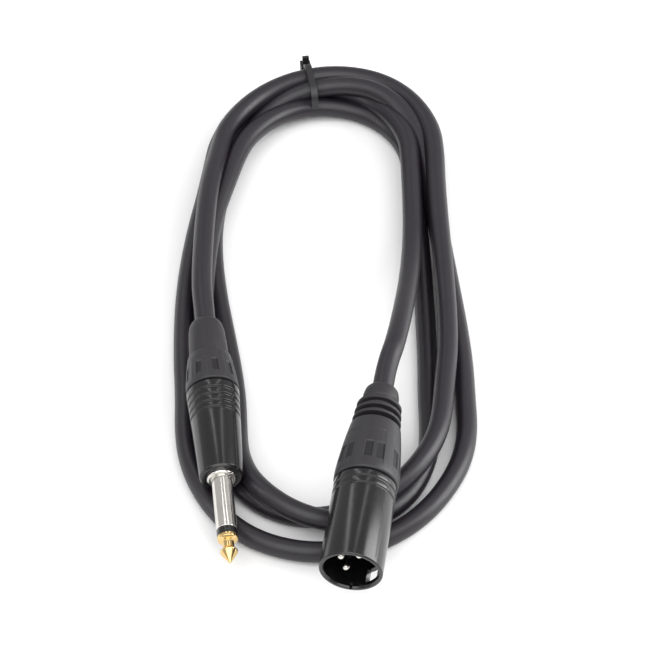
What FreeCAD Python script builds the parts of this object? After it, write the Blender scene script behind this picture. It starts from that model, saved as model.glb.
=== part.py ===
import FreeCAD, Part
import math
import os

# An unbalanced audio lead, wound into an elongated coil: a three-pin cable plug at one end,
# a 6.35 mm two-pole jack plug at the other, and a small cable tie round the far bend.
# Millimetres, +Z up. The coil lies on z = 0 and the origin is under the middle of the whole.

os.makedirs("parts", exist_ok=True)
Vector = FreeCAD.Vector

# Cable
CABLE_D = 6.5
CABLE_R = CABLE_D / 2
BORE_R = CABLE_R + 0.3          # every hole that slides along the cable
CORE_R = 0.65
TAIL_R = 0.75

# Coil: a racetrack line with lanes set out from it, in two layers
TOP_CENTRE = (1.5, 71.5)
TOP_R = 36.0
BOTTOM_CENTRE = (0.0, -47.0)
BOTTOM_R = 42.0
ARC_STEP = 30.0
SIDE_PARTS = 4
LAYER = CABLE_D
UPPER_Z = 1.5 * CABLE_D + 0.1   # centre line of a strand on the second layer

# Three-pin plug: distances run back from its mouth along its axis
XLR_FRONT = Vector(8.2, -116.1, 20.8)
XLR_REAR = Vector(18.4, -48.0, 25.8)
XLR_SHELL_L = 31.6
XLR_SHELL_R = 19.05 / 2
XLR_MOUTH_R = 8.1
XLR_SEAT_R = 7.4
XLR_THREAD_R = 8.3
XLR_SEAT = (13.0, 15.0)
XLR_INSERT_END = 24.0
XLR_BACK_L = 53.7
XLR_BACK_FRONT_R = 9.85
XLR_BACK_REAR_R = 7.65
XLR_BOOT_L = 69.0
XLR_JACKET_END = 40.0
PIN_CIRCLE = 4.0
PIN_R = 1.2
PIN_ANGLES = {"xlr_pin_1": 60.0, "xlr_pin_2": 240.0, "xlr_pin_3": 150.0}
KEY_ANGLE = -35.0

# Jack plug: distances run back from its tip along its axis
JACK_FRONT = Vector(-27.4, -103.9, 10.0)
JACK_REAR = Vector(-37.0, -10.1, 17.3)
JACK_R = 6.35 / 2
JACK_SHANK_L = 31.1
JACK_COLLAR_BORE_R = 3.6
JACK_BARREL_L = 63.6
JACK_BARREL_FRONT_R = 6.7
JACK_BARREL_REAR_R = 8.25
JACK_THREAD_R = 7.2
JACK_CAVITY_R = 6.0
JACK_BACK_L = 77.0
JACK_BACK_REAR_R = 6.75
JACK_BOOT_L = 94.6
JACK_JACKET_END = 69.0

# Screwed parts: threads are plain cylinders
THREAD_GAP = 0.3
SEAM = 0.3

# Cable tie
TIE_AT = Vector(-4.0, 104.0, 0.0)
TIE_TURN = 10.0
TIE_W = 2.2
TIE_T = 1.1
TIE_SPAN = 17.6
TIE_H = 14.2
TIE_CORNER = 5.0


# ---------------------------------------------------------------- helpers

def axis_frame(front, rear):
    """Placement whose z runs from front to rear, with y as near to up as it can be."""
    z = (rear - front).normalize()
    x = Vector(0, 0, 1).cross(z).normalize()
    y = z.cross(x)
    return FreeCAD.Placement(FreeCAD.Matrix(x.x, y.x, z.x, front.x, x.y, y.y, z.y, front.y,
                                            x.z, y.z, z.z, front.z, 0, 0, 0, 1))


def turned(profile):
    """Solid of revolution from (distance back, radius) points."""
    corners = [Vector(r, 0, s) for s, r in profile]
    face = Part.Face(Part.makePolygon(corners + [corners[0]]))
    return face.revolve(Vector(0, 0, 0), Vector(0, 0, 1), 360)


def ring(start, end, outer, inner=0.0):
    """Plain ring or disc between two distances."""
    body = Part.makeCylinder(outer, end - start, Vector(0, 0, start))
    if inner:
        body = body.cut(Part.makeCylinder(inner, end - start, Vector(0, 0, start)))
    return body


def around(angle, radius, distance=0.0):
    """Point at a clock angle seen from the front: 0 is right and 90 is up."""
    turn = math.radians(angle)
    return Vector(-radius * math.cos(turn), radius * math.sin(turn), distance)


def block(angle, radius, distance, deep, wide, length):
    """Box whose depth is radial, centred at a clock angle, a radius and a distance."""
    box = Part.makeBox(deep, wide, length, Vector(-deep / 2, -wide / 2, -length / 2))
    box.rotate(Vector(0, 0, 0), Vector(0, 0, 1), 180 - angle)
    box.translate(around(angle, radius, distance))
    return box


def fluted(body, count, start, end, cutter_r, depth):
    """Shallow flutes cut along a tapered skin; start and end are (distance, radius)."""
    for i in range(count):
        angle = 360.0 * (i + 0.5) / count
        first = around(angle, start[1] + cutter_r - depth, start[0])
        last = around(angle, end[1] + cutter_r - depth, end[0])
        run = last - first
        body = body.cut(Part.makeCylinder(cutter_r, run.Length, first, run))
    return body


def collet(start, split, end, front_r, rear_r, leg_inner, leg_angles):
    """Cable clamp: a tapered split sleeve with legs that bear on the part ahead of it."""
    sleeve = turned([(split, BORE_R), (split, front_r), (split + 3.0, front_r),
                     (end, rear_r), (end, BORE_R)])
    for angle in (20.0, 140.0, 260.0):
        sleeve = sleeve.cut(block(angle, front_r, (split + 5.0 + end) / 2, 2 * front_r - 4.0,
                                  0.8, end - split - 5.0))
    legs = ring(start, split + 0.5, front_r, leg_inner)
    keep = [legs.common(block(angle, front_r, (start + split + 0.5) / 2, front_r, 3.6,
                              split + 0.5 - start)) for angle in leg_angles]
    return sleeve.multiFuse(keep).removeSplitter()


def rounded_path(points, name=None):
    """Straight runs joined by tangent arcs, each as large as its two runs allow."""
    edges = []
    start = points[0]
    for before, here, after in zip(points, points[1:], points[2:]):
        d_in = (here - before).normalize()
        d_out = (after - here).normalize()
        half = d_in.getAngle(d_out) / 2
        reach = 0.45 * min((here - before).Length, (after - here).Length)
        radius = reach / math.tan(half)
        inward = (d_out - d_in).normalize()
        middle = here + inward * (radius / math.cos(half) - radius)
        arc_start = here - d_in * reach
        arc_end = here + d_out * reach
        edges.append(Part.LineSegment(start, arc_start).toShape())
        edges.append(Part.Arc(arc_start, middle, arc_end).toShape())
        start = arc_end
        if name:
            print(name, "radius", round(radius, 1), "turn", round(math.degrees(2 * half), 1))
    edges.append(Part.LineSegment(start, points[-1]).toShape())
    return Part.Wire(edges)


def tube(points, radius, name=None):
    """Round cord along a path of runs and arcs."""
    path = rounded_path(points, name)
    section = Part.Wire([Part.makeCircle(radius, points[0], points[1] - points[0])])
    body = path.makePipeShell([section], True, False)
    if name:
        expected = math.pi * radius ** 2 * path.Length
        print(name, "length", round(path.Length, 1), "volume ratio", round(body.Volume / expected, 4))
    return body


XLR = axis_frame(XLR_FRONT, XLR_REAR)
JACK = axis_frame(JACK_FRONT, JACK_REAR)


def xlr_place(shape):
    shape.Placement = XLR.multiply(shape.Placement)
    return shape


def jack_place(shape):
    shape.Placement = JACK.multiply(shape.Placement)
    return shape


def on_xlr(distance):
    return XLR.multVec(Vector(0, 0, distance))


def on_jack(distance):
    return JACK.multVec(Vector(0, 0, distance))


# ---------------------------------------------------------------- three-pin plug

def xlr_shell():
    groove = 0.35
    profile = [(0.0, XLR_MOUTH_R + 0.4), (0.0, XLR_SHELL_R - 0.5), (0.5, XLR_SHELL_R)]
    for at in (26.0, 28.6):
        profile += [(at - 0.3, XLR_SHELL_R), (at - 0.3, XLR_SHELL_R - groove),
                    (at + 0.3, XLR_SHELL_R - groove), (at + 0.3, XLR_SHELL_R)]
    profile += [(XLR_SHELL_L, XLR_SHELL_R), (XLR_SHELL_L, XLR_THREAD_R), (XLR_SEAT[1], XLR_THREAD_R),
                (XLR_SEAT[1], XLR_SEAT_R), (XLR_SEAT[0], XLR_SEAT_R), (XLR_SEAT[0], XLR_MOUTH_R),
                (0.4, XLR_MOUTH_R)]
    shell = turned(profile)
    latch_window = block(KEY_ANGLE, XLR_SHELL_R, 4.4, 4.0, 4.6, 3.4)
    rim_slot = block(-90.0, XLR_SHELL_R, 0.7, 5.0, 1.3, 3.0)
    return shell.cut(latch_window).cut(rim_slot)


def xlr_insert():
    body = turned([(XLR_SEAT[0] - 0.5, 0.0), (XLR_SEAT[0] - 0.5, XLR_SEAT_R - 0.3),
                   (XLR_SEAT[0], XLR_SEAT_R), (XLR_SEAT[1], XLR_SEAT_R), (XLR_SEAT[1], XLR_THREAD_R),
                   (XLR_INSERT_END, XLR_THREAD_R), (XLR_INSERT_END, 0.0)])
    for angle in PIN_ANGLES.values():
        body = body.cut(Part.makeCylinder(PIN_R, 20.0, around(angle, PIN_CIRCLE, 8.0)))
    return body.cut(block(KEY_ANGLE, 5.4, XLR_INSERT_END - 1.0, 0.6, 3.0, 2.0))


def xlr_pin(angle):
    """Contact pin with a solder cup behind the insert."""
    cup_end = XLR_INSERT_END + 4.5
    pin = turned([(3.0, 0.0), (3.1, 0.5), (3.6, 1.0), (4.4, PIN_R), (XLR_INSERT_END, PIN_R),
                  (XLR_INSERT_END, 1.5), (cup_end, 1.5), (cup_end, 1.0),
                  (XLR_INSERT_END + 1.0, 1.0), (XLR_INSERT_END + 1.0, 0.0)])
    pin.translate(around(angle, PIN_CIRCLE))
    return pin


def xlr_earth_tab():
    tab = block(KEY_ANGLE, 5.4, XLR_INSERT_END + 0.8, 0.6, 3.0, 5.6)
    return tab.cut(Part.makeCylinder(0.6, 4.0, around(KEY_ANGLE, 3.5, XLR_INSERT_END + 2.0),
                                     around(KEY_ANGLE, 1.0)))


def xlr_core(angle, offset, radius):
    """Soldered core from the end of the jacket to a pin's cup."""
    cup = around(angle, PIN_CIRCLE)
    end = around(angle, offset)
    points = [end + Vector(0, 0, XLR_JACKET_END), end + Vector(0, 0, 35.5),
              cup + Vector(0, 0, 30.0), cup + Vector(0, 0, XLR_INSERT_END + 1.5)]
    return tube(points, radius)


def xlr_backshell():
    """Screw cap: a spigot inside the shell, then a fluted skin that tapers to the boot."""
    skin = XLR_SHELL_L + SEAM
    spigot_r = XLR_THREAD_R - THREAD_GAP
    body = turned([(25.5, 7.0), (25.5, spigot_r), (skin, spigot_r), (skin, XLR_BACK_FRONT_R - 0.4),
                   (skin + 0.4, XLR_BACK_FRONT_R), (36.5, XLR_BACK_FRONT_R),
                   (XLR_BACK_L - 1.0, XLR_BACK_REAR_R + 0.2), (XLR_BACK_L, XLR_BACK_REAR_R - 0.6),
                   (XLR_BACK_L, 5.2), (51.0, 5.2), (48.0, 7.0)])
    return fluted(body, 10, (37.5, XLR_BACK_FRONT_R - 0.2), (XLR_BACK_L + 1.0, XLR_BACK_REAR_R + 0.1),
                  2.6, 0.45)


def xlr_boot():
    """Ribbed rubber sleeve with a domed end."""
    rib, base = 7.25, 5.6
    profile = [(49.5, BORE_R), (49.5, 5.2), (XLR_BACK_L, 5.2), (XLR_BACK_L, base + 0.6)]
    for at in (55.4, 58.2, 61.0, 63.8):
        profile += [(at - 0.8, base), (at - 0.45, rib), (at + 0.45, rib), (at + 0.8, base)]
    profile += [(65.0, base - 0.15), (67.4, 5.2), (68.5, 4.8), (XLR_BOOT_L, 4.2), (XLR_BOOT_L, BORE_R)]
    return turned(profile)


def build_xlr():
    parts = {"xlr_shell": xlr_shell(), "xlr_insert": xlr_insert(), "xlr_earth_tab": xlr_earth_tab()}
    for name, angle in PIN_ANGLES.items():
        parts[name] = xlr_pin(angle)
    parts["xlr_core_hot"] = xlr_core(PIN_ANGLES["xlr_pin_2"], 1.5, CORE_R)
    parts["xlr_core_cold"] = xlr_core(PIN_ANGLES["xlr_pin_3"], 1.5, CORE_R)
    parts["xlr_screen_tail"] = xlr_core(PIN_ANGLES["xlr_pin_1"], 1.5, TAIL_R)
    parts["xlr_clamp"] = collet(XLR_INSERT_END, 33.0, 47.5, 6.7, 5.2, 5.7, (15.0, 105.0, 195.0))
    parts["xlr_backshell"] = xlr_backshell()
    parts["xlr_boot"] = xlr_boot()
    return {name: xlr_place(shape) for name, shape in parts.items()}


# ---------------------------------------------------------------- jack plug

def jack_tip():
    """Bulb, neck and ring of the tip contact, in one turned piece."""
    return turned([(0.0, 0.0), (0.05, 0.6), (0.35, 1.1), (3.3, 2.5), (3.8, 2.65), (4.3, 2.6),
                   (5.4, 2.1), (6.4, 1.9), (7.2, 2.2), (8.3, JACK_R), (9.4, JACK_R), (9.4, 1.2),
                   (5.0, 1.2), (5.0, 0.0)])


def jack_sleeve():
    """Shank and the flange that is pressed into the barrel."""
    under_collar = JACK_SHANK_L - 0.8
    return turned([(12.4, 2.0), (12.4, JACK_R), (under_collar, JACK_R), (under_collar, JACK_COLLAR_BORE_R),
                   (JACK_SHANK_L + 0.6, JACK_COLLAR_BORE_R), (JACK_SHANK_L + 0.6, 5.2), (38.0, 5.2),
                   (38.0, 2.0)])


def jack_barrel():
    """Tapered metal body with four grip grooves ahead of its rear edge."""
    def skin(s):
        share = (s - JACK_SHANK_L) / (JACK_BARREL_L - JACK_SHANK_L)
        return JACK_BARREL_FRONT_R + share * (JACK_BARREL_REAR_R - JACK_BARREL_FRONT_R)

    depth, half = 0.35, 0.35
    profile = [(JACK_SHANK_L, 4.5), (JACK_SHANK_L, skin(JACK_SHANK_L) - 0.5),
               (JACK_SHANK_L + 0.5, skin(JACK_SHANK_L + 0.5))]
    for ahead in (10.8, 8.4, 5.8, 3.3):
        at = JACK_BARREL_L - ahead
        profile += [(at - half, skin(at - half)), (at - half, skin(at) - depth),
                    (at + half, skin(at) - depth), (at + half, skin(at + half))]
    profile += [(JACK_BARREL_L - 0.3, skin(JACK_BARREL_L - 0.3)), (JACK_BARREL_L, skin(JACK_BARREL_L) - 0.3),
                (JACK_BARREL_L, JACK_THREAD_R), (56.0, JACK_THREAD_R), (56.0, JACK_CAVITY_R),
                (38.0, JACK_CAVITY_R), (38.0, 5.2), (JACK_SHANK_L + 0.6, 5.2), (JACK_SHANK_L + 0.6, 4.5)]
    return turned(profile)


def jack_tip_terminal():
    """Solder lug riveted over the end of the tip rod."""
    plate = block(90.0, 0.0, 43.5, 0.8, 3.2, 7.0)
    eye = block(90.0, 0.0, 40.0, 3.4, 3.4, 1.0)
    rod_hole = ring(39.0, 41.5, 1.2)
    wire_hole = Part.makeCylinder(0.7, 4.0, Vector(0, -2.0, 45.6), Vector(0, 1, 0))
    return plate.fuse(eye).cut(rod_hole).cut(wire_hole).removeSplitter()


def jack_sleeve_terminal():
    """Long earth lug that ends in a fork beside the cores."""
    return block(-90.0, 4.3, 44.0, 0.8, 3.6, 12.0)


def jack_core(angle, clear, stop):
    """Soldered core from the end of the jacket to a lug."""
    end = around(angle, 1.5)
    lug = around(angle, clear)
    points = [end + Vector(0, 0, JACK_JACKET_END), end + Vector(0, 0, 60.0),
              lug + Vector(0, 0, 53.0), lug + Vector(0, 0, stop)]
    return tube(points, CORE_R)


def jack_backshell():
    """Screw cap behind the barrel, fluted, with a step before the boot."""
    skin = JACK_BARREL_L + SEAM
    spigot_r = JACK_THREAD_R - THREAD_GAP
    body = turned([(57.0, 6.2), (57.0, spigot_r), (skin, spigot_r), (skin, JACK_BARREL_REAR_R - 0.3),
                   (skin + 0.3, JACK_BARREL_REAR_R), (67.5, JACK_BARREL_REAR_R),
                   (JACK_BACK_L - 0.8, JACK_BACK_REAR_R + 0.15), (JACK_BACK_L, JACK_BACK_REAR_R - 0.5),
                   (JACK_BACK_L, 5.0), (75.5, 5.0), (73.0, 6.2)])
    return fluted(body, 10, (68.0, JACK_BARREL_REAR_R - 0.1), (JACK_BACK_L + 1.0, JACK_BACK_REAR_R),
                  2.2, 0.4)


def jack_boot():
    """Smooth rubber sleeve with a rounded rear shoulder."""
    return turned([(74.5, BORE_R), (74.5, 5.0), (JACK_BACK_L, 5.0), (JACK_BACK_L, 6.2), (91.0, 5.75),
                   (93.0, 5.55), (94.0, 5.1), (JACK_BOOT_L, 4.4), (JACK_BOOT_L, BORE_R)])


def build_jack():
    parts = {
        "jack_tip": jack_tip(),
        "jack_tip_rod": ring(5.0, 41.5, 1.2),
        "jack_insulator_ring": ring(9.4, 12.4, JACK_R, 1.2),
        "jack_insulator_tube": ring(12.4, 38.0, 2.0, 1.2),
        "jack_sleeve": jack_sleeve(),
        "jack_collar": ring(JACK_SHANK_L - 0.8, JACK_SHANK_L + 0.6, 4.5, JACK_COLLAR_BORE_R),
        "jack_washer": ring(38.0, 39.5, 3.8, 1.2),
        "jack_tip_terminal": jack_tip_terminal(),
        "jack_sleeve_terminal": jack_sleeve_terminal(),
        "jack_barrel": jack_barrel(),
        "jack_liner": ring(38.0, 56.0, JACK_CAVITY_R, 5.3),
        "jack_core_hot": jack_core(90.0, 1.1, 44.0),
        "jack_core_cold": jack_core(-90.0, 3.2, 46.0),
        "jack_clamp": collet(56.0, 62.5, 72.0, 5.9, 4.8, 4.9, (0.0, 120.0, 240.0)),
        "jack_backshell": jack_backshell(),
        "jack_boot": jack_boot(),
    }
    return {name: jack_place(shape) for name, shape in parts.items()}


# ---------------------------------------------------------------- cable

def racetrack():
    """Stations round the coil, clockwise from the lower left: point and outward normal."""
    def on_arc(centre, radius, angle):
        turn = math.radians(angle)
        outward = (math.cos(turn), math.sin(turn))
        return (centre[0] + radius * outward[0], centre[1] + radius * outward[1]), outward

    def side(first, last, outward):
        shares = [i / SIDE_PARTS for i in range(1, SIDE_PARTS)]
        return [((first[0] + t * (last[0] - first[0]), first[1] + t * (last[1] - first[1])), outward)
                for t in shares]

    steps = [180.0 - ARC_STEP * i for i in range(int(180.0 / ARC_STEP) + 1)]
    top = [on_arc(TOP_CENTRE, TOP_R, angle) for angle in steps]
    bottom = [on_arc(BOTTOM_CENTRE, BOTTOM_R, angle - 180.0) for angle in steps]
    left = side(bottom[-1][0], top[0][0], (-1.0, 0.0))
    right = side(top[-1][0], bottom[0][0], (1.0, 0.0))
    return left + top + right + bottom


def edge_line(stations, offsets):
    return [Vector(p[0] + o * n[0], p[1] + o * n[1], 0) for (p, n), o in zip(stations, offsets)]


def smooth(points, closed=False):
    line = Part.BSplineCurve()
    line.interpolate(Points=points, PeriodicFlag=closed)
    return line.toShape()


def raised(edges, bottom):
    face = Part.Face(Part.Wire(edges))
    solid = face.extrude(Vector(0, 0, LAYER))
    solid.translate(Vector(0, 0, bottom))
    return solid


# Edges of each layer, out from the racetrack line at its stations in order
FLOOR_OUTER = [7.6, 9.0, 8.0, 3.2, 1.6, 2.6, 3.7, 5.2, 3.6, 3.0, 4.8, 5.9, 6.2, 5.2, 4.8, 7.0, 8.8,
               7.2, 4.0, 3.8]
FLOOR_INNER = [-13.5, -8.5, -8.5, -10.4, -10.8, -11.0, -11.0, -11.8, -12.2, -13.0, -10.0, -10.8, -11.6,
               -12.6, -11.4, -11.3, -11.3, -11.8, -18.2, -19.2]
HEAD_OUTER = [2.9, 1.5, 2.6, 3.7, 5.2, 3.5, 2.7]
HEAD_INNER = [-10.4, -10.7, -11.0, -7.4, -8.6, -12.0, -13.0]
SIDE_LANE = [-0.7, -0.8, -0.9, -1.9, -5.4, -8.0, -8.2, -8.2, -8.3]


def cable_coil():
    """Outer shape of the wound turns: a floor layer, the stacked bend, and one upper strand."""
    stations = racetrack()
    outer = edge_line(stations, FLOOR_OUTER)
    inner = edge_line(stations, FLOOR_INNER)
    hole = raised([smooth(inner, closed=True)], 0)
    floor = raised([smooth(outer, closed=True)], 0).cut(hole)

    bend = stations[SIDE_PARTS - 1:SIDE_PARTS - 1 + len(HEAD_OUTER)]
    bend_out = edge_line(bend, HEAD_OUTER)
    bend_in = edge_line(bend, HEAD_INNER)
    head = raised([smooth(bend_out), Part.LineSegment(bend_out[-1], bend_in[-1]).toShape(),
                   smooth(bend_in[::-1]), Part.LineSegment(bend_in[0], bend_out[0]).toShape()], LAYER)

    first = SIDE_PARTS - 2 + len(HEAD_OUTER)
    run = stations[first:first + len(SIDE_LANE)]
    run_out = edge_line(run, [lane + CABLE_R for lane in SIDE_LANE])
    run_in = edge_line(run, [lane - CABLE_R for lane in SIDE_LANE])
    strand = raised([smooth(run_out), Part.LineSegment(run_out[-1], run_in[-1]).toShape(),
                     smooth(run_in[::-1]), Part.LineSegment(run_in[0], run_out[0]).toShape()], LAYER)
    return floor.multiFuse([head, strand]).removeSplitter()


def lead_to_xlr():
    """Free stretch from the stacked bend up to the three-pin plug's clamp."""
    points = [Vector(28.6, 71.5, UPPER_Z), Vector(28.6, 24.0, UPPER_Z), on_xlr(90.0),
              on_xlr(XLR_JACKET_END)]
    return tube(points, CABLE_R, "cable_lead_xlr")


def lead_to_jack():
    """Free stretch from the stacked bend down the left side to the jack's clamp."""
    points = [Vector(-34.7, 71.8, UPPER_Z), Vector(-38.2, 46.0, 13.6), on_jack(110.0),
              on_jack(JACK_JACKET_END)]
    return tube(points, CABLE_R, "cable_lead_jack")


def jack_hollow():
    """Room that the jack's barrel and cap need where they press down among the turns."""
    gap = 0.35
    return jack_place(turned([(JACK_SHANK_L - gap, 0.0), (JACK_SHANK_L - gap, JACK_BARREL_FRONT_R + gap),
                              (JACK_BARREL_L, JACK_BARREL_REAR_R + gap),
                              (JACK_BACK_L, JACK_BARREL_REAR_R + gap), (JACK_BACK_L, 0.0)]))


# ---------------------------------------------------------------- cable tie

def tie_loop(grow, width):
    """Rounded rectangle across the bundle, as a solid prism."""
    box = Part.makeBox(width, TIE_SPAN + 2 * grow, TIE_H + 2 * grow,
                       Vector(-width / 2, -TIE_SPAN / 2 - grow, -grow))
    along = [edge for edge in box.Edges if abs(edge.tangentAt(0).x) > 0.9]
    return box.makeFillet(TIE_CORNER + grow, along)


def tie_parts():
    outside = TIE_SPAN / 2
    loop = tie_loop(0.0, TIE_W).cut(tie_loop(-TIE_T, 2 * TIE_W))
    tail = Part.makeBox(TIE_W, TIE_T, 8.0, Vector(-TIE_W / 2, outside + 0.8, 5.4))
    link = Part.makeBox(TIE_W, TIE_T + 0.9, TIE_T, Vector(-TIE_W / 2, outside - 0.1, 5.4))
    strap = loop.multiFuse([tail, link]).removeSplitter()
    head = Part.makeBox(3.4, 3.4, 3.0, Vector(-1.7, outside, 7.0))
    head = head.makeFillet(0.4, [edge for edge in head.Edges if abs(edge.tangentAt(0).z) > 0.9])
    slot = Part.makeBox(TIE_W, TIE_T + 0.7, 5.0, Vector(-TIE_W / 2, outside + 0.8, 6.0))
    head = head.cut(slot)
    pawl = Part.makeBox(TIE_W, 0.7, 1.6, Vector(-TIE_W / 2, outside + 0.8 + TIE_T, 7.6))
    parts = {"tie_strap": strap, "tie_head": head, "tie_pawl": pawl}
    for shape in parts.values():
        shape.rotate(Vector(0, 0, 0), Vector(0, 0, 1), TIE_TURN)
        shape.translate(TIE_AT)
    return parts


# ---------------------------------------------------------------- whole object

def build():
    parts = build_xlr()
    parts.update(build_jack())
    tie = tie_parts()
    parts.update(tie)
    parts["cable_lead_xlr"] = lead_to_xlr()
    parts["cable_lead_jack"] = lead_to_jack()
    coil = cable_coil()
    for other in (parts["cable_lead_xlr"], parts["cable_lead_jack"], jack_hollow(), *tie.values()):
        coil = coil.cut(other)
    parts["cable_coil"] = coil
    return parts


box = FreeCAD.BoundBox()
for node, shape in build().items():
    solids = shape.Solids
    print(node, "valid", shape.isValid(), "solids", len(solids), "volume", round(shape.Volume, 1))
    whole = solids[0] if len(solids) == 1 else shape
    whole.exportStep("parts/" + node + ".step")
    box.add(shape.BoundBox)
print("box", [round(v, 2) for v in (box.XMin, box.XMax, box.YMin, box.YMax, box.ZMin, box.ZMax)])
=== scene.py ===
import bpy
import bmesh
import math
from mathutils import Matrix, Vector


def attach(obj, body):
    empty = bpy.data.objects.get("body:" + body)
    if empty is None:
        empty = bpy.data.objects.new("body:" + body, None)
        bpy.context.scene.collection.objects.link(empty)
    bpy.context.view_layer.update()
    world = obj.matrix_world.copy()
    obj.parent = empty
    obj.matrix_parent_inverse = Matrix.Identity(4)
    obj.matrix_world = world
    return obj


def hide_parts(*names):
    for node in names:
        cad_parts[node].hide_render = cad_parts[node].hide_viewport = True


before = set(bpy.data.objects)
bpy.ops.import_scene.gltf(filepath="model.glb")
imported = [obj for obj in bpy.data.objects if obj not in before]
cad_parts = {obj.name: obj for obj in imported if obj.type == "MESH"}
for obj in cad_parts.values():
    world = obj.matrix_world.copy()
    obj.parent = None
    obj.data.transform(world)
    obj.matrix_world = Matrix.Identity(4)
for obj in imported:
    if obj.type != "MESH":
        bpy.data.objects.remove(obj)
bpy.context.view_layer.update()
MM = 0.001

# ---------------------------------------------------------------- driving sizes, millimetres

CABLE_D = 6.5
XLR_FRONT = Vector((8.2, -116.1, 20.8))
XLR_REAR = Vector((18.4, -48.0, 25.8))
JACK_FRONT = Vector((-27.4, -103.9, 10.0))
JACK_REAR = Vector((-37.0, -10.1, 17.3))
XLR_JACKET_END = 40.0
JACK_JACKET_END = 69.0
SHELL_R = 9.525
PIN_CIRCLE_R = 4.0
PIN_R = 1.2
JACK_R = 3.175
BARREL_FRONT = 31.1
BARREL_FRONT_R = 6.7
BARREL_TAPER_L = 32.5
BARREL_TAPER_RISE = 1.55
CORNER_SHARP = math.radians(32)

# Clock angles of the features cut in the shell, seen from the plug's front
LATCH_WINDOW_AT = -41.0
RIM_SLOT_AT = -90.0
SIDE_LINE_AT = 42.0

# Grips moulded in the caps, in degrees round the cap
XLR_GRIP_PITCH = 60.0
XLR_PANEL_CENTRES = (8.0, 31.0)
JACK_GRIP_PITCH = 40.0
PANEL_FLOOR = 0.3               # deeper than this, a face is a panel's floor
SKIN_R = 9.0                    # any radius on a cap's outer skin


def axis_frame(front, rear):
    """Matrix whose z runs from front to rear, with y as near to up as it can be."""
    z = (rear - front).normalized()
    x = Vector((0, 0, 1)).cross(z).normalized()
    y = z.cross(x)
    turn = Matrix((x, y, z)).transposed().to_4x4()
    return Matrix.Translation(front) @ turn


XLR = axis_frame(XLR_FRONT, XLR_REAR)
JACK = axis_frame(JACK_FRONT, JACK_REAR)


def on_xlr(distance):
    return XLR @ Vector((0, 0, distance))


def on_jack(distance):
    return JACK @ Vector((0, 0, distance))


# ---------------------------------------------------------------- materials

def new_material(name):
    material = bpy.data.materials.new(name)
    material.use_nodes = True
    nodes = material.node_tree.nodes
    return material, nodes, material.node_tree.links, nodes["Principled BSDF"]


def noise(nodes, links, scale, detail=3.0):
    where = nodes.new("ShaderNodeTexCoord")
    texture = nodes.new("ShaderNodeTexNoise")
    texture.inputs["Scale"].default_value = scale
    texture.inputs["Detail"].default_value = detail
    links.new(where.outputs["Object"], texture.inputs["Vector"])
    return texture.outputs["Fac"]


def between(nodes, links, factor, low, high):
    """Spreads the middle of a noise between two values."""
    spread = nodes.new("ShaderNodeMapRange")
    spread.inputs["From Min"].default_value = 0.3
    spread.inputs["From Max"].default_value = 0.7
    spread.inputs["To Min"].default_value = low
    spread.inputs["To Max"].default_value = high
    links.new(factor, spread.inputs["Value"])
    return spread.outputs["Result"]


def tinted(nodes, links, factor, dark, light):
    mix = nodes.new("ShaderNodeMix")
    mix.data_type = "RGBA"
    mix.inputs[6].default_value = (*dark, 1)
    mix.inputs[7].default_value = (*light, 1)
    links.new(factor, mix.inputs[0])
    return mix.outputs[2]


def bumped(nodes, links, shader, height, strength, distance):
    bump = nodes.new("ShaderNodeBump")
    bump.inputs["Strength"].default_value = strength
    bump.inputs["Distance"].default_value = distance
    links.new(height, bump.inputs["Height"])
    links.new(bump.outputs["Normal"], shader.inputs["Normal"])


PATCH = 60.0


def surface(name, dark, light, rough, metallic=0.0, grain=900.0, bump=0.1, depth=0.00004,
            coat=0.0, specular=0.5):
    """A finish whose colour and roughness wander a little, with a fine grain."""
    material, nodes, links, shader = new_material(name)
    shader.inputs["Metallic"].default_value = metallic
    shader.inputs["Specular IOR Level"].default_value = specular
    shader.inputs["Coat Weight"].default_value = coat
    shader.inputs["Coat Roughness"].default_value = 0.2
    broad = noise(nodes, links, PATCH)
    fine = noise(nodes, links, grain, 4.0)
    links.new(tinted(nodes, links, broad, dark, light), shader.inputs["Base Color"])
    links.new(between(nodes, links, fine, *rough), shader.inputs["Roughness"])
    if bump:
        bumped(nodes, links, shader, fine, bump, depth)
    return material


JACKET = surface("cable jacket", (0.0085, 0.0065, 0.0100), (0.0125, 0.0100, 0.0140),
                 (0.36, 0.46), grain=1500.0, bump=0.14, depth=0.00003)
BLACK_METAL = surface("black lacquered metal", (0.0020, 0.0020, 0.0024), (0.0035, 0.0035, 0.0040),
                      (0.17, 0.27), grain=2400.0, bump=0.11, depth=0.00002, coat=0.2)
MOUTH_BLACK = surface("moulded insulator", (0.0030, 0.0018, 0.0030), (0.0045, 0.0030, 0.0045),
                      (0.5, 0.65), specular=0.25)
BLACK_PLASTIC = surface("matte moulded plastic", (0.0150, 0.0135, 0.0160), (0.0200, 0.0180, 0.0210),
                        (0.40, 0.52), grain=2600.0, bump=0.2, depth=0.00004)
# Painted shade: the sunk panel floors get a darker colour than the rest of the cap to stand for the
# shade in these hollows, with a rougher, less glossy finish as well.
PANEL_SHADE_PLASTIC = surface("moulded plastic with painted shade in the panels", (0.0095, 0.0085, 0.0100),
                        (0.0130, 0.0115, 0.0140), (0.50, 0.62), grain=2600.0, bump=0.2,
                        depth=0.00004, specular=0.36)
RUBBER = surface("black rubber", (0.0120, 0.0100, 0.0125), (0.0160, 0.0140, 0.0165), (0.45, 0.58),
                 grain=1800.0, bump=0.15, depth=0.00004)
NICKEL = surface("bright nickel", (0.60, 0.57, 0.53), (0.82, 0.80, 0.76), (0.10, 0.24), metallic=1.0,
                 grain=1200.0, bump=0.03, depth=0.00001)
GOLD = surface("bright gold plate", (0.62, 0.42, 0.17), (0.86, 0.64, 0.30), (0.10, 0.22), metallic=1.0,
               grain=1200.0, bump=0.03, depth=0.00001)
GREY_PLASTIC = surface("natural plastic", (0.34, 0.34, 0.33), (0.42, 0.42, 0.41), (0.4, 0.5))
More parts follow.
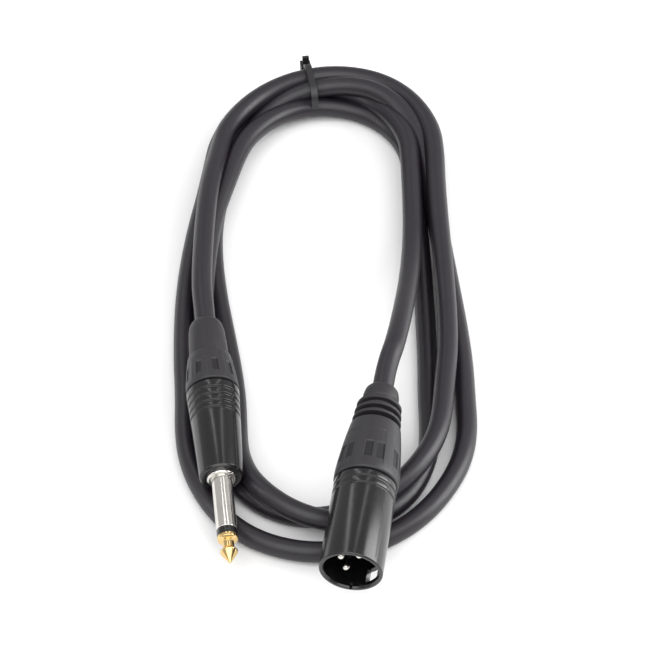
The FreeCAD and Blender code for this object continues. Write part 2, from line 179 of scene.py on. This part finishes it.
TIE_PLASTIC = surface("tie plastic", (0.0110, 0.0100, 0.0115), (0.0150, 0.0140, 0.0155),
                      (0.34, 0.46))
RED_CORE = surface("red insulation", (0.42, 0.02, 0.02), (0.52, 0.03, 0.03), (0.3, 0.4))
WHITE_CORE = surface("white insulation", (0.66, 0.66, 0.64), (0.74, 0.74, 0.72), (0.3, 0.4))
COPPER = surface("bare copper", (0.70, 0.34, 0.20), (0.80, 0.42, 0.26), (0.25, 0.4), metallic=1.0)


# ---------------------------------------------------------------- shape helpers

def finish_piece(piece, material, body, slot, *nodes):
    piece.data.materials.clear()
    piece.data.materials.append(material)
    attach(piece, body)
    if nodes:
        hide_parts(*nodes)
    return piece


def softened(profile, radius):
    """Closed (distance, radius) outline with each corner off the axis rounded by a short curve."""
    out = []
    count = len(profile)
    for i, (s, r) in enumerate(profile):
        before = Vector(profile[i - 1])
        after = Vector(profile[(i + 1) % count])
        here = Vector((s, r))
        room = min((before - here).length, (after - here).length) / 2.2
        reach = min(radius, room)
        if r < 1e-6 or reach < 1e-6:
            out.append((s, r))
            continue
        start = here + (before - here).normalized() * reach
        end = here + (after - here).normalized() * reach
        for t in (0.0, 0.3, 0.7, 1.0):
            p = start * (1 - t) ** 2 + here * 2 * t * (1 - t) + end * t ** 2
            out.append((p.x, p.y))
    return out


def lathe(name, profile, place, steps=144, corner=0.15, dip=None):
    """Closed solid of revolution. dip(angle, distance, radius) says how far the skin is pressed
    in there."""
    outline = softened(profile, corner)
    verts = []
    faces = []
    rings = []
    for s, r in outline:
        if r < 1e-6:
            rings.append([len(verts)] * steps)
            verts.append(place @ Vector((0, 0, s)) * MM)
            continue
        row = []
        for k in range(steps):
            angle = 2 * math.pi * k / steps
            reach = r - (dip(math.degrees(angle), s, r) if dip else 0.0)
            row.append(len(verts))
            verts.append(place @ Vector((-reach * math.cos(angle), reach * math.sin(angle), s)) * MM)
        rings.append(row)
    for i, row in enumerate(rings):
        other = rings[(i + 1) % len(rings)]
        for k in range(steps):
            n = (k + 1) % steps
            loop = [row[k], row[n], other[n], other[k]]
            unique = [v for j, v in enumerate(loop) if v not in loop[:j]]
            if len(unique) > 2:
                faces.append(unique)
    mesh = bpy.data.meshes.new(name)
    mesh.from_pydata(verts, [], faces)
    mesh.update()
    return smooth_solid(bpy.data.objects.new(name, mesh))


def smooth_solid(piece):
    """Links the piece, points its faces outward and keeps only real corners sharp."""
    if piece.name not in bpy.context.scene.collection.objects:
        bpy.context.scene.collection.objects.link(piece)
    work = bmesh.new()
    work.from_mesh(piece.data)
    bmesh.ops.remove_doubles(work, verts=work.verts, dist=1e-7)
    bmesh.ops.recalc_face_normals(work, faces=work.faces)
    work.to_mesh(piece.data)
    work.free()
    piece.data.shade_smooth()
    piece.data.set_sharp_from_angle(angle=CORNER_SHARP)
    return piece


def block(name, place, angle, radius, distance, deep, wide, length, corner=0.0):
    """Box whose depth is radial, centred at a clock angle, a radius and a distance."""
    work = bmesh.new()
    bmesh.ops.create_cube(work, size=1.0)
    bmesh.ops.scale(work, vec=(deep, wide, length), verts=work.verts)
    if corner:
        bmesh.ops.bevel(work, geom=work.edges[:], offset=corner, segments=3, affect="EDGES", profile=0.5)
    turn = math.radians(angle)
    spin = Matrix.Rotation(math.pi - turn, 4, "Z")
    where = Matrix.Translation((-radius * math.cos(turn), radius * math.sin(turn), distance))
    bmesh.ops.transform(work, matrix=place @ where @ spin, verts=work.verts)
    bmesh.ops.scale(work, vec=(MM, MM, MM), verts=work.verts)
    mesh = bpy.data.meshes.new(name)
    work.to_mesh(mesh)
    work.free()
    piece = bpy.data.objects.new(name, mesh)
    bpy.context.scene.collection.objects.link(piece)
    return piece


def carve(piece, *cutters):
    """Cuts the cutters out of the piece for good, and removes them."""
    for cutter in cutters:
        cut = piece.modifiers.new("cut", "BOOLEAN")
        cut.operation = "DIFFERENCE"
        cut.solver = "EXACT"
        cut.object = cutter
    graph = bpy.context.evaluated_depsgraph_get()
    mesh = bpy.data.meshes.new_from_object(piece.evaluated_get(graph))
    piece.modifiers.clear()
    piece.data = mesh
    for cutter in cutters:
        bpy.data.objects.remove(cutter)
    return smooth_solid(piece)


# ---------------------------------------------------------------- cable

# The coil is a racetrack line, taken clockwise from the left end of the far bend. Each turn is
# given by how far out from the line it runs, and how high, at 20 stations.
TOP_CENTRE = Vector((1.5, 71.5))
TOP_R = 36.0
BOTTOM_CENTRE = Vector((0.0, -47.0))
BOTTOM_R = 42.0
STATIONS = 20
BEND_PARTS = 6
SIDE_PARTS = 4
FINER = 2
ARC_EASE = 1 / math.cos(math.radians(180 / BEND_PARTS / FINER / 2))

OUT = [
    (-0.8, -1.6, -0.9, 1.2, 2.2, 0.6, -0.5, -0.8, -0.6, -1.4,
     -5.6, -7.8, -8.0, -7.6, -7.7, -9.4, -8.0, -3.0, -0.3, -0.9),
    (-6.8, -9.9, -9.8, -8.8, -8.5, -8.7, -8.2, -7.3, -7.2, -7.7,
     -9.0, -7.6, -4.4, -4.0, -8.2, -13.6, -15.8, -11.2, -4.4, -0.4),
    (-3.0, -5.8, -4.8, -5.0, -4.2, -4.2, -3.4, -0.8, 1.7, 3.5,
     2.6, 1.6, 3.4, 5.4, 4.6, 1.0, 0.3, 3.7, 5.7, 4.6),
    (1.5, 1.8, 0.8, -1.6, -5.4, -8.6, -8.6),
]
HIGH = [
    (11.6, 9.9, 9.8, 9.6, 9.7, 9.8, 9.8, 9.8, 9.8, 9.8,
     9.8, 9.6, 7.6, 4.0, 3.3, 3.3, 3.3, 4.4, 7.4, 9.6),
    (9.6, 8.4, 6.2, 4.3, 3.4, 3.3, 3.3, 3.3, 3.3, 3.3,
     3.3, 3.3, 4.0, 7.2, 9.2, 6.4, 3.6, 3.3, 3.3, 3.3),
    (3.3, 3.8, 6.7, 10.0, 11.8, 9.6, 6.2, 4.0, 3.4, 3.3,
     3.3, 3.3, 3.3, 3.3, 3.3, 3.3, 3.3, 3.3, 3.3, 3.3),
    (3.3, 3.3, 3.3, 4.2, 7.0, 9.4, 9.8),
]


def on_racetrack(station, out):
    """Point at a station, which may lie between two whole ones, set out from the line."""
    place = station % STATIONS
    if place <= BEND_PARTS:
        turn = math.pi * (1 - place / BEND_PARTS)
        return TOP_CENTRE + Vector((math.cos(turn), math.sin(turn))) * (TOP_R + out) * ARC_EASE
    if place < BEND_PARTS + SIDE_PARTS:
        share = (place - BEND_PARTS) / SIDE_PARTS
        high = TOP_CENTRE + Vector((TOP_R, 0))
        low = BOTTOM_CENTRE + Vector((BOTTOM_R, 0))
        return high.lerp(low, share) + Vector((out, 0))
    if place <= 2 * BEND_PARTS + SIDE_PARTS:
        turn = -math.pi * (place - BEND_PARTS - SIDE_PARTS) / BEND_PARTS
        return BOTTOM_CENTRE + Vector((math.cos(turn), math.sin(turn))) * (BOTTOM_R + out) * ARC_EASE
    share = (place - 2 * BEND_PARTS - SIDE_PARTS) / SIDE_PARTS
    low = BOTTOM_CENTRE - Vector((BOTTOM_R, 0))
    high = TOP_CENTRE - Vector((TOP_R, 0))
    return low.lerp(high, share) - Vector((out, 0))


def eased(values, whole, part):
    """Value at a station, or half way to the next on a smooth curve through its neighbours."""
    if not part:
        return values[whole]
    last = len(values) - 1
    near = [values[min(max(whole + k, 0), last)] for k in (-1, 0, 1, 2)]
    return (9 * (near[1] + near[2]) - near[0] - near[3]) / 16


def wound_turns():
    """Points round every turn, twice as close as the stations, in millimetres."""
    outs = [value for turn in OUT for value in turn]
    highs = [value for turn in HIGH for value in turn]
    points = []
    for step in range((len(outs) - 1) * FINER + 1):
        whole, part = divmod(step, FINER)
        flat = on_racetrack(whole + part / FINER, eased(outs, whole, part))
        points.append(Vector((flat.x, flat.y, eased(highs, whole, part))))
    return points


def cable_points():
    to_jack = [on_jack(JACK_JACKET_END), on_jack(97.0), on_jack(110.0), Vector((-37.6, 46.0, 16.4))]
    to_xlr = [Vector((29.6, 24.0, 9.85)), Vector((23.3, -28.0, 27.4)), on_xlr(78.0), on_xlr(62.0),
              on_xlr(XLR_JACKET_END)]
    return to_jack + wound_turns() + to_xlr


def make_cable():
    points = cable_points()
    curve = bpy.data.curves.new("cable", "CURVE")
    curve.dimensions = "3D"
    curve.bevel_depth = CABLE_D / 2 * MM
    curve.bevel_resolution = 7
    curve.resolution_u = 6
    curve.use_fill_caps = True
    line = curve.splines.new("NURBS")
    line.points.add(len(points) - 1)
    for spot, point in zip(line.points, points):
        spot.co = (*(point * MM), 1)
    line.order_u = 3
    line.use_endpoint_u = True
    piece = bpy.data.objects.new("cable", curve)
    bpy.context.scene.collection.objects.link(piece)
    finish_piece(piece, JACKET, "lead", "cable_jacket",
                 "cable_coil", "cable_lead_xlr", "cable_lead_jack")
    return piece


def line_length(points):
    """Length of the cable's spline for these control points, in metres."""
    plain = bpy.data.curves.new("measure", "CURVE")
    plain.dimensions = "3D"
    plain.resolution_u = 12
    line = plain.splines.new("NURBS")
    line.points.add(len(points) - 1)
    for spot, point in zip(line.points, points):
        spot.co = (*(point * MM), 1)
    line.order_u = 3
    line.use_endpoint_u = True
    holder = bpy.data.objects.new("measure", plain)
    mesh = bpy.data.meshes.new_from_object(holder)
    spots = [v.co.copy() for v in mesh.vertices]
    bpy.data.objects.remove(holder)
    bpy.data.meshes.remove(mesh)
    return sum((b - a).length for a, b in zip(spots, spots[1:]))


cable = make_cable()


# ---------------------------------------------------------------- three-pin plug

def ramp(value, low, high):
    """0 below low, 1 above high and smooth between them."""
    share = min(1.0, max(0.0, (value - low) / (high - low)))
    return share * share * (3.0 - 2.0 * share)


def paint_panel_shade(piece, place, dip, radius, material):
    """Gives the floors of the sunk panels a darker colour, painted shade for their depth, and a duller
    finish.
    """
    piece.data.materials.append(material)
    inverse = place.inverted()
    for face in piece.data.polygons:
        spot = inverse @ (face.center / MM)
        angle = math.degrees(math.atan2(spot.y, -spot.x)) % 360.0
        if math.hypot(spot.x, spot.y) > radius and dip(angle, spot.z, SKIN_R) > PANEL_FLOOR:
            face.material_index = 1


def make_xlr():
    shell = lathe("plug_shell", [
        (0.0, 8.55), (0.0, 9.2), (0.35, SHELL_R),
        (25.55, SHELL_R), (25.75, 9.2), (26.25, 9.2), (26.45, SHELL_R),
        (28.15, SHELL_R), (28.35, 9.2), (28.85, 9.2), (29.05, SHELL_R),
        (30.9, SHELL_R), (31.2, 9.0), (31.6, 9.0), (31.6, 8.3),
        (15.0, 8.3), (15.0, 7.4), (13.0, 7.4), (13.0, 8.1), (0.6, 8.1)], XLR, corner=0.12)
    carve(shell, block("window", XLR, LATCH_WINDOW_AT, 9.0, 4.0, 4.0, 5.2, 4.4, 0.3),
          block("rim slot", XLR, RIM_SLOT_AT, 8.35, 0.6, 0.9, 0.9, 2.6, 0.1),
          block("side line", XLR, SIDE_LINE_AT, 9.62, 16.0, 0.3, 0.35, 28.0))
    finish_piece(shell, BLACK_METAL, "lead", "black_metal", "xlr_shell")

    def grips(angle, s, r):
        """Six pairs of short sunk panels, each pair in a long shallow flat between raised lands."""
        if r < 7.2 or not 33.6 < s < 47.6:
            return 0.0
        around = (angle - XLR_GRIP_PITCH) % XLR_GRIP_PITCH
        flat = ramp(around, -1.5, 1.0) * ramp(41.0 - around, 0.0, 2.5)
        flat = flat * ramp(s, 33.6, 35.2) * ramp(47.6 - s, 0.0, 0.7)
        panel = 0.0
        for middle in XLR_PANEL_CENTRES:
            panel += ramp(8.2 - abs(around - middle), 0.0, 1.6)
        return 0.10 * flat + 0.38 * panel * ramp(s, 35.6, 36.3) * ramp(42.2 - s, 0.0, 0.7)

    cap = lathe("plug_cap", [
        (25.5, 7.0), (25.5, 8.0), (31.7, 8.0), (31.7, 9.45), (32.1, 9.8), (33.6, 9.85), (34.4, 9.84),
        (35.2, 9.8), (35.6, 9.78), (36.0, 9.75), (36.4, 9.72), (38.4, 9.55), (41.4, 9.25), (41.8, 9.21),
        (42.2, 9.17), (44.0, 8.97), (46.8, 8.62), (47.2, 8.57), (47.6, 8.52), (48.2, 8.42), (52.4, 7.8),
        (52.7, 7.4), (52.7, 5.2), (51.0, 5.2), (48.0, 7.0)], XLR, steps=360, corner=0.08, dip=grips)
    finish_piece(cap, BLACK_PLASTIC, "xlr_cap", "black_plastic", "xlr_backshell")
    paint_panel_shade(cap, XLR, grips, 7.5, PANEL_SHADE_PLASTIC)

    ribs = [(49.5, 3.55), (49.5, 5.2), (52.7, 5.2), (52.7, 5.4)]
    for at, reach in ((55.0, 7.45), (57.8, 7.2), (60.6, 6.9)):
        ribs += [(at - 0.75, 5.4), (at - 0.5, reach), (at + 0.5, reach), (at + 0.75, 5.4)]
    ribs += [(62.4, 5.3), (62.9, 5.6), (65.0, 5.5), (66.8, 5.1), (67.7, 4.4), (68.0, 3.45)]
    boot = lathe("plug_boot", ribs, XLR, corner=0.3)
    finish_piece(boot, RUBBER, "xlr_cap", "black_rubber", "xlr_boot")


def make_pins():
    for name, angle in (("xlr_pin_1", 60.0), ("xlr_pin_2", 240.0), ("xlr_pin_3", 150.0)):
        turn = math.radians(angle)
        shift = Matrix.Translation((-PIN_CIRCLE_R * math.cos(turn), PIN_CIRCLE_R * math.sin(turn), 0))
        pin = lathe(name + "_turned", [
            (3.0, 0.0), (3.02, 0.45), (3.35, 0.95), (4.0, PIN_R), (24.0, PIN_R), (24.0, 1.5),
            (28.5, 1.5), (28.5, 1.0), (25.0, 1.0), (25.0, 0.0)], XLR @ shift, steps=48, corner=0.2)
        finish_piece(pin, NICKEL, "lead", "nickel", name)


# ---------------------------------------------------------------- jack plug

def make_jack():
    tip = lathe("jack_tip_turned", [
        (0.0, 0.0), (0.0, 0.25), (3.3, 2.45), (3.75, 2.7), (4.2, 2.65), (4.9, 1.95), (5.3, 1.75),
        (7.5, 1.75), (7.8, 2.5), (8.25, 3.1), (9.3, JACK_R), (9.35, 1.2), (6.0, 1.2), (6.0, 0.0)],
        JACK, steps=96, corner=0.12)
    finish_piece(tip, GOLD, "lead", "gold", "jack_tip")
    ring = lathe("jack_insulator", [(9.4, 1.2), (9.4, JACK_R), (11.7, JACK_R), (11.7, 1.2)], JACK,
                 steps=96, corner=0.1)
    finish_piece(ring, BLACK_METAL, "lead", "black_plastic", "jack_insulator_ring")
    shank = lathe("jack_shank", [
        (11.7, 2.0), (11.7, 3.1), (11.85, JACK_R), (30.3, JACK_R), (30.3, 3.6), (31.7, 3.6),
        (31.7, 5.2), (38.0, 5.2), (38.0, 2.0)], JACK, steps=96, corner=0.1)
    finish_piece(shank, NICKEL, "lead", "nickel", "jack_sleeve")
    collar = lathe("jack_front_ring", [
        (30.3, 3.6), (30.3, 4.1), (30.7, 4.5), (31.7, 4.5), (31.7, 3.6)], JACK, steps=96, corner=0.2)
    finish_piece(collar, NICKEL, "lead", "nickel", "jack_collar")

    def skin(s):
        """Radius of the barrel's taper at a distance."""
        return BARREL_FRONT_R + (s - BARREL_FRONT) / BARREL_TAPER_L * BARREL_TAPER_RISE

    outline = [(BARREL_FRONT, 4.5), (BARREL_FRONT, skin(BARREL_FRONT) - 0.55), (31.75, skin(31.75))]
    for at in (52.8, 55.2, 57.8, 60.3):
        outline += [(at - 0.45, skin(at - 0.45)), (at - 0.15, skin(at) - 0.4),
                    (at + 0.2, skin(at) - 0.4), (at + 0.45, skin(at + 0.45))]
    outline += [(63.0, skin(63.0)), (63.2, skin(63.6) - 0.6), (63.6, skin(63.6) - 0.6), (63.6, 7.2),
                (56.0, 7.2), (56.0, 6.0), (38.0, 6.0), (38.0, 5.2), (31.7, 5.2), (31.7, 4.5)]
    barrel = lathe("jack_barrel_turned", outline, JACK, corner=0.15)
    finish_piece(barrel, BLACK_METAL, "lead", "black_metal", "jack_barrel")

    def grips(angle, s, r):
        """Nine short sunk panels, each in a shallow flat."""
        if r < 6.3 or not 65.2 < s < 74.4:
            return 0.0
        across = angle % JACK_GRIP_PITCH
        across = min(across, JACK_GRIP_PITCH - across)
        flat = ramp(17.0 - across, 0.0, 2.5) * ramp(s, 65.2, 66.2) * ramp(74.4 - s, 0.0, 0.6)
        panel = ramp(7.5 - across, 0.0, 1.6) * ramp(s, 66.6, 67.2) * ramp(72.2 - s, 0.0, 0.6)
        return 0.08 * flat + 0.34 * panel

    cap = lathe("jack_cap_moulded", [
        (57.0, 6.2), (57.0, 6.9), (63.9, 6.9), (63.9, 7.95), (64.2, 8.25), (65.2, 8.25), (66.2, 8.2),
        (66.6, 8.17), (67.2, 8.12), (69.4, 7.87), (71.6, 7.6), (72.2, 7.52), (73.8, 7.3), (74.4, 7.2),
        (75.2, 7.05), (76.6, 6.8), (77.0, 6.35), (77.0, 5.0), (75.5, 5.0), (73.0, 6.2)],
        JACK, steps=360, corner=0.08, dip=grips)
    finish_piece(cap, BLACK_PLASTIC, "jack_cap", "black_plastic", "jack_backshell")
    paint_panel_shade(cap, JACK, grips, 6.5, PANEL_SHADE_PLASTIC)
    boot = lathe("jack_boot_moulded", [
        (74.5, 3.55), (74.5, 5.0), (77.0, 5.0), (77.0, 6.2), (83.0, 5.95), (87.4, 5.65), (89.6, 5.2),
        (90.7, 4.6), (91.1, 4.0), (91.1, 3.45)], JACK, corner=0.5)
    finish_piece(boot, RUBBER, "jack_cap", "black_rubber", "jack_boot")


# ---------------------------------------------------------------- pieces kept from the CAD

def keep(node, material):
    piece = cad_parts[node]
    piece.data.materials.clear()
    piece.data.materials.append(material)


def keep_the_rest():
    for node in ("xlr_earth_tab", "jack_tip_rod", "jack_tip_terminal", "jack_sleeve_terminal"):
        keep(node, NICKEL)
    for node in ("xlr_clamp", "jack_clamp", "jack_insulator_tube", "jack_washer", "jack_liner"):
        keep(node, GREY_PLASTIC)
    for node in ("xlr_core_hot", "jack_core_hot"):
        keep(node, RED_CORE)
    for node in ("xlr_core_cold", "jack_core_cold"):
        keep(node, WHITE_CORE)
    keep("xlr_screen_tail", COPPER)
    keep("xlr_insert", MOUTH_BLACK)
    for node in ("tie_strap", "tie_head", "tie_pawl"):
        keep(node, TIE_PLASTIC)


make_xlr()
make_pins()
make_jack()
keep_the_rest()


# ---------------------------------------------------------------- floor, light and camera

FLOOR_REACH = 4.0
CAMERA_LIFT = math.radians(47.0)
CAMERA_AWAY = 1.090
CAMERA_LENS = 189.8


def make_stage():
    material, nodes, links, shader = new_material("pale floor")
    wander = noise(nodes, links, 3.0)
    links.new(tinted(nodes, links, wander, (0.86, 0.86, 0.86), (0.88, 0.88, 0.88)),
              shader.inputs["Base Color"])
    shader.inputs["Roughness"].default_value = 0.9
    mesh = bpy.data.meshes.new("floor")
    reach = FLOOR_REACH
    mesh.from_pydata([(-reach, -reach, 0), (reach, -reach, 0), (reach, reach, 0), (-reach, reach, 0)],
                     [], [(0, 1, 2, 3)])
    floor = bpy.data.objects.new("floor", mesh)
    floor.data.materials.append(material)
    bpy.context.scene.collection.objects.link(floor)


def soft_light(name, place, aim, width, height, power):
    lamp = bpy.data.lights.new(name, "AREA")
    lamp.shape = "RECTANGLE"
    lamp.size = width
    lamp.size_y = height
    lamp.energy = power
    holder = bpy.data.objects.new(name, lamp)
    holder.location = place
    holder.rotation_euler = (Vector(aim) - Vector(place)).to_track_quat("-Z", "Y").to_euler()
    bpy.context.scene.collection.objects.link(holder)


def make_camera():
    aim = Vector((0.0, 0.003, 0.0))
    back = Vector((0.0, -math.cos(CAMERA_LIFT), math.sin(CAMERA_LIFT)))
    lens = bpy.data.cameras.new("camera")
    lens.sensor_width = 36.0
    lens.lens = CAMERA_LENS
    lens.clip_start = 0.05
    lens.clip_end = 20.0
    camera = bpy.data.objects.new("camera", lens)
    camera.location = aim + back * CAMERA_AWAY
    camera.rotation_euler = (-back).to_track_quat("-Z", "Y").to_euler()
    bpy.context.scene.collection.objects.link(camera)
    bpy.context.scene.camera = camera


def make_light():
    world = bpy.data.worlds.new("studio")
    world.use_nodes = True
    world.node_tree.nodes["Background"].inputs["Color"].default_value = (1, 1, 1, 1)
    world.node_tree.nodes["Background"].inputs["Strength"].default_value = 0.58
    bpy.context.scene.world = world
    bpy.context.scene.view_settings.view_transform = "Standard"
    soft_light("ceiling", (0.0, -0.9, 1.5), (0, 0, 0), 2.4, 2.0, 34.0)
    soft_light("strip left of centre", (-0.42, 0.62, 0.95), (0, 0, 0), 0.06, 0.7, 0.8)
    soft_light("strip right of centre", (0.34, 0.62, 0.95), (0, 0, 0), 0.06, 0.7, 0.5)
    soft_light("left", (-1.0, -0.1, 0.55), (0, 0, 0), 0.10, 0.9, 2.2)
    soft_light("right", (1.0, 0.1, 0.40), (0, 0, 0), 0.6, 1.0, 12.0)


make_stage()
make_light()
make_camera()

line_length(cable_points())
